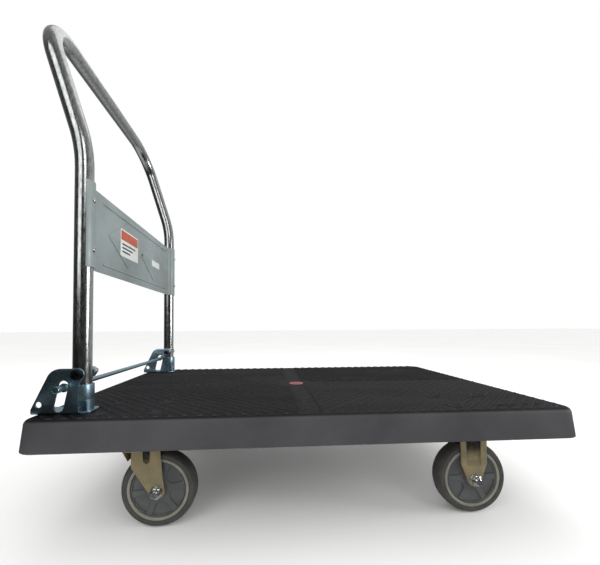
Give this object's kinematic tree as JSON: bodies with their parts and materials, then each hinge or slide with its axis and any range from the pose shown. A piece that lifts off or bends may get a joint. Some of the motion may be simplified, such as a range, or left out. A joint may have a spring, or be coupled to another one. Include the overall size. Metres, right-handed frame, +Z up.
{
  "type": "folding platform cart",
  "caption": "Folding platform cart with a ribbed plastic deck, a bent tube handle with a panel that folds over the deck, a foot lock rod, swivel casters and fixed casters.",
  "frame": {"origin": "on the floor under the middle of the whole cart's length and the middle of the deck's width", "axes": "+X along the deck, away from the handle; +Y across the deck, to the left of a person pushing; +Z up"},
  "size_m": [0.9188, 0.6, 0.8954],
  "materials": {
    "deck_plastic": "moulded dark grey polypropylene, fine spark texture on the sides, ribbed top",
    "badge_plastic": "moulded red ABS, gloss",
    "tube_chrome": "bright chrome plate over steel tube",
    "panel_paint": "grey powder coat over pressed sheet, satin",
    "black_steel": "black oxide steel, oiled",
    "bracket_zinc": "blue-white zinc plated pressed steel, semi-gloss",
    "caster_zinc": "olive-gold chromated zinc on pressed steel, semi-gloss",
    "bolt_zinc": "bright zinc plated steel",
    "hub_plastic": "moulded grey polypropylene, semi-matt",
    "tyre_rubber": "dark grey thermoplastic rubber, matt"
  },
  "bodies": {
    "platform": {"axle_bolt_fixed_left": "bolt_zinc", "axle_bolt_fixed_right": "bolt_zinc", "axle_nut_fixed_left": "bolt_zinc", "axle_nut_fixed_right": "bolt_zinc", "ball_race_swivel_left": "caster_zinc", "ball_race_swivel_right": "caster_zinc", "bracket_bolt_left_front": "bolt_zinc", "bracket_bolt_left_rear": "bolt_zinc", "bracket_bolt_right_front": "bolt_zinc", "bracket_bolt_right_rear": "bolt_zinc", "caster_bolt_fixed_left_front_left": "bolt_zinc", "caster_bolt_fixed_left_front_right": "bolt_zinc", "caster_bolt_fixed_left_rear_left": "bolt_zinc", "caster_bolt_fixed_left_rear_right": "bolt_zinc", "caster_bolt_fixed_right_front_left": "bolt_zinc", "caster_bolt_fixed_right_front_right": "bolt_zinc", "caster_bolt_fixed_right_rear_left": "bolt_zinc", "caster_bolt_fixed_right_rear_right": "bolt_zinc", "caster_bolt_swivel_left_front_left": "bolt_zinc", "caster_bolt_swivel_left_front_right": "bolt_zinc", "caster_bolt_swivel_left_rear_left": "bolt_zinc", "caster_bolt_swivel_left_rear_right": "bolt_zinc", "caster_bolt_swivel_right_front_left": "bolt_zinc", "caster_bolt_swivel_right_front_right": "bolt_zinc", "caster_bolt_swivel_right_rear_left": "bolt_zinc", "caster_bolt_swivel_right_rear_right": "bolt_zinc", "caster_fork_fixed_left": "caster_zinc", "caster_fork_fixed_right": "caster_zinc", "caster_plate_swivel_left": "caster_zinc", "caster_plate_swivel_right": "caster_zinc", "centre_badge": "badge_plastic", "deck": "deck_plastic", "hinge_bracket_left": "bracket_zinc", "hinge_bracket_right": "bracket_zinc", "kingpin_swivel_left": "bolt_zinc", "kingpin_swivel_right": "bolt_zinc", "lock_spring_left": "bolt_zinc", "lock_spring_right": "bolt_zinc", "pivot_bolt_left": "black_steel", "pivot_bolt_right": "black_steel", "pivot_nut_left": "bolt_zinc", "pivot_nut_right": "bolt_zinc"},
    "handle": {"handle_tube": "tube_chrome", "handle_panel": "panel_paint"},
    "lock_rod": {"lock_rod": "bracket_zinc"},
    "swivel_right": {"caster_fork_swivel_right": "caster_zinc", "axle_bolt_swivel_right": "bolt_zinc", "axle_nut_swivel_right": "bolt_zinc"},
    "swivel_left": {"caster_fork_swivel_left": "caster_zinc", "axle_bolt_swivel_left": "bolt_zinc", "axle_nut_swivel_left": "bolt_zinc"},
    "wheel_swivel_right": {"wheel_hub_swivel_right": "hub_plastic", "tyre_swivel_right": "tyre_rubber"},
    "wheel_swivel_left": {"wheel_hub_swivel_left": "hub_plastic", "tyre_swivel_left": "tyre_rubber"},
    "wheel_fixed_right": {"wheel_hub_fixed_right": "hub_plastic", "tyre_fixed_right": "tyre_rubber"},
    "wheel_fixed_left": {"wheel_hub_fixed_left": "hub_plastic", "tyre_fixed_left": "tyre_rubber"}
  },
  "joints": [
    {"name": "handle_fold", "type": "hinge", "parent": "platform", "child": "handle", "pos_m": [-0.36744, 0, 0.2605], "axis": [0, 1, 0], "range_deg": [0, 90]},
    {"name": "lock_rod_slide", "type": "slide", "parent": "platform", "child": "lock_rod", "axis": [-0.2079, 0, -0.9781], "range_m": [0, 0.03], "stiffness_N_per_m": 150, "springref_m": -0.02, "deforming": ["lock_spring_right", "lock_spring_left"]},
    {"name": "swivel_turn_right", "type": "hinge", "parent": "platform", "child": "swivel_right", "pos_m": [-0.28544, -0.2225, 0.134], "axis": [0, 0, 1], "continuous": true},
    {"name": "swivel_turn_left", "type": "hinge", "parent": "platform", "child": "swivel_left", "pos_m": [-0.28544, 0.2225, 0.134], "axis": [0, 0, 1], "continuous": true},
    {"name": "wheel_spin_swivel_right", "type": "hinge", "parent": "swivel_right", "child": "wheel_swivel_right", "pos_m": [-0.24744, -0.2225, 0.0625], "axis": [0, 1, 0], "continuous": true},
    {"name": "wheel_spin_swivel_left", "type": "hinge", "parent": "swivel_left", "child": "wheel_swivel_left", "pos_m": [-0.24744, 0.2225, 0.0625], "axis": [0, 1, 0], "continuous": true},
    {"name": "wheel_spin_fixed_right", "type": "hinge", "parent": "platform", "child": "wheel_fixed_right", "pos_m": [0.30456, -0.2225, 0.0625], "axis": [0, 1, 0], "continuous": true},
    {"name": "wheel_spin_fixed_left", "type": "hinge", "parent": "platform", "child": "wheel_fixed_left", "pos_m": [0.30456, 0.2225, 0.0625], "axis": [0, 1, 0], "continuous": true}
  ],
  "couplings": [
    {"joint": "lock_rod_slide", "follows": "handle_fold", "m_per_rad": 0.019}
  ]
}
